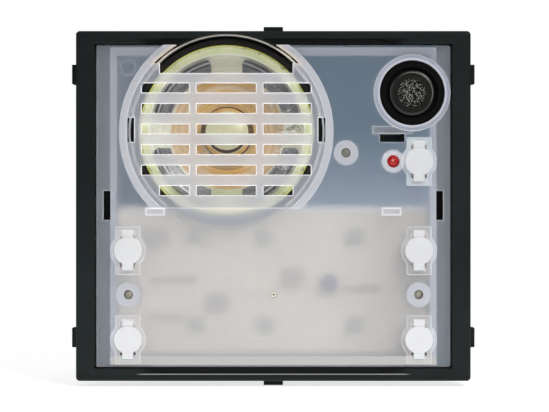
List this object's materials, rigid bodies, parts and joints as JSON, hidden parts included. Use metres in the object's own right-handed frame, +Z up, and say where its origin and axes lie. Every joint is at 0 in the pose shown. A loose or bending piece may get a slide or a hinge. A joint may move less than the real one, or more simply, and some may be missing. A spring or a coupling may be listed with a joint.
{
  "type": "door intercom module",
  "caption": "Audio module of a modular door-entry panel: black clip-in frame, frosted cover with grille, speaker, microphone, lamp and side keys over boards in a rear case",
  "frame": {"origin": "centre of the flat back face of the rear case", "axes": "front faces -Y, +Y points out of the back, +X to the right seen from the front, +Z up"},
  "size_m": [0.104, 0.027, 0.0926],
  "materials": {
    "frame_black": "fine texture",
    "cover_frost": "frosted, translucent",
    "case_black": "fine texture",
    "screw_steel": "zinc plated",
    "boot_rubber": "satin",
    "capsule_metal": "satin",
    "mesh_metal": "woven, speckled",
    "tinned_metal": "tinned",
    "lamp_red": "clear tinted",
    "basket_yellow": "yellow passivated",
    "film_clear": "clear film",
    "dome_cream": "satin film",
    "coil_copper": "enamelled wire",
    "former_amber": "film",
    "plate_gold": "passivated",
    "magnet_dark": "ferrite",
    "yoke_zinc": "zinc plated",
    "foam_black": "open foam",
    "fibre_brown": "pressed fibre",
    "wire_red": "smooth",
    "wire_black": "smooth",
    "board_dark": "solder mask",
    "sheet_white": "matt film",
    "lamp_white": "moulded",
    "chip_black": "moulded",
    "ceramic_tan": "ceramic",
    "can_blue": "sleeve",
    "socket_black": "moulded",
    "socket_white": "moulded",
    "terminal_green": "moulded",
    "trimmer_blue": "moulded",
    "rotor_white": "moulded",
    "key_white": "satin",
    "switch_black": "moulded",
    "plunger_tan": "moulded"
  },
  "bodies": {
    "root": {"board_link_header": "socket_black", "case_screws": "screw_steel", "configurator_socket": "socket_white", "front_board": "board_dark", "front_board_chips": "chip_black", "front_board_passives": "ceramic_tan", "front_cover": "cover_frost", "front_frame": "frame_black", "label_leds": "lamp_white", "link_pins": "tinned_metal", "link_socket_in": "socket_black", "link_socket_out": "socket_black", "mic_boot": "boot_rubber", "mic_capsule": "capsule_metal", "mic_mesh": "mesh_metal", "mic_pins": "tinned_metal", "mic_trimmer": "trimmer_blue", "rear_board": "board_dark", "rear_case": "case_black", "reflector_sheet": "sheet_white", "speaker_basket": "basket_yellow", "speaker_cone": "film_clear", "speaker_foam_ring": "foam_black", "speaker_magnet": "magnet_dark", "speaker_tag_board": "fibre_brown", "speaker_tags": "tinned_metal", "speaker_top_plate": "plate_gold", "speaker_wire_black": "wire_black", "speaker_wire_red": "wire_red", "speaker_yoke": "yoke_zinc", "status_led": "lamp_red", "status_led_leads": "tinned_metal", "storage_capacitor": "can_blue", "switch_left_bottom": "switch_black", "switch_left_top": "switch_black", "switch_right_bottom": "switch_black", "switch_right_top": "switch_black", "switch_upper_right": "switch_black", "terminal_header": "terminal_green", "terminal_pins": "tinned_metal", "volume_trimmer": "trimmer_blue"},
    "key_upper_right_unit": {"key_upper_right": "key_white", "plunger_upper_right": "plunger_tan"},
    "key_right_top_unit": {"key_right_top": "key_white", "plunger_right_top": "plunger_tan"},
    "key_right_bottom_unit": {"key_right_bottom": "key_white", "plunger_right_bottom": "plunger_tan"},
    "key_left_top_unit": {"key_left_top": "key_white", "plunger_left_top": "plunger_tan"},
    "key_left_bottom_unit": {"key_left_bottom": "key_white", "plunger_left_bottom": "plunger_tan"},
    "speaker_coil_unit": {"voice_coil": "coil_copper", "coil_former": "former_amber", "speaker_dome": "dome_cream"},
    "volume_rotor_unit": {"volume_rotor": "rotor_white"},
    "mic_rotor_unit": {"mic_rotor": "rotor_white"},
    "terminal_plug_unit": {"terminal_plug": "terminal_green", "terminal_screws": "screw_steel"}
  },
  "joints": [
    {"name": "upper_right_key_press", "type": "slide", "parent": "root", "child": "key_upper_right_unit", "axis": [0, 1, 0], "range_m": [0, 0.0003], "stiffness_N_per_m": 4000},
    {"name": "right_top_key_press", "type": "slide", "parent": "root", "child": "key_right_top_unit", "axis": [0, 1, 0], "range_m": [0, 0.0003], "stiffness_N_per_m": 4000},
    {"name": "right_bottom_key_press", "type": "slide", "parent": "root", "child": "key_right_bottom_unit", "axis": [0, 1, 0], "range_m": [0, 0.0003], "stiffness_N_per_m": 4000},
    {"name": "left_top_key_press", "type": "slide", "parent": "root", "child": "key_left_top_unit", "axis": [0, 1, 0], "range_m": [0, 0.0003], "stiffness_N_per_m": 4000},
    {"name": "left_bottom_key_press", "type": "slide", "parent": "root", "child": "key_left_bottom_unit", "axis": [0, 1, 0], "range_m": [0, 0.0003], "stiffness_N_per_m": 4000},
    {"name": "speaker_stroke", "type": "slide", "parent": "root", "child": "speaker_coil_unit", "axis": [0, -1, 0], "range_m": [-0.0005, 0.0005], "stiffness_N_per_m": 1200, "deforming": ["speaker_cone"]},
    {"name": "volume_trim_turn", "type": "hinge", "parent": "root", "child": "volume_rotor_unit", "pos_m": [-0.025, -0.0078, -0.013], "axis": [0, 1, 0], "range_deg": [-135, 135]},
    {"name": "mic_trim_turn", "type": "hinge", "parent": "root", "child": "mic_rotor_unit", "pos_m": [-0.014, -0.0078, -0.013], "axis": [0, 1, 0], "range_deg": [-135, 135]},
    {"name": "terminal_plug_pull", "type": "slide", "parent": "root", "child": "terminal_plug_unit", "axis": [0, 1, 0], "range_m": [0, 0.01]}
  ]
}
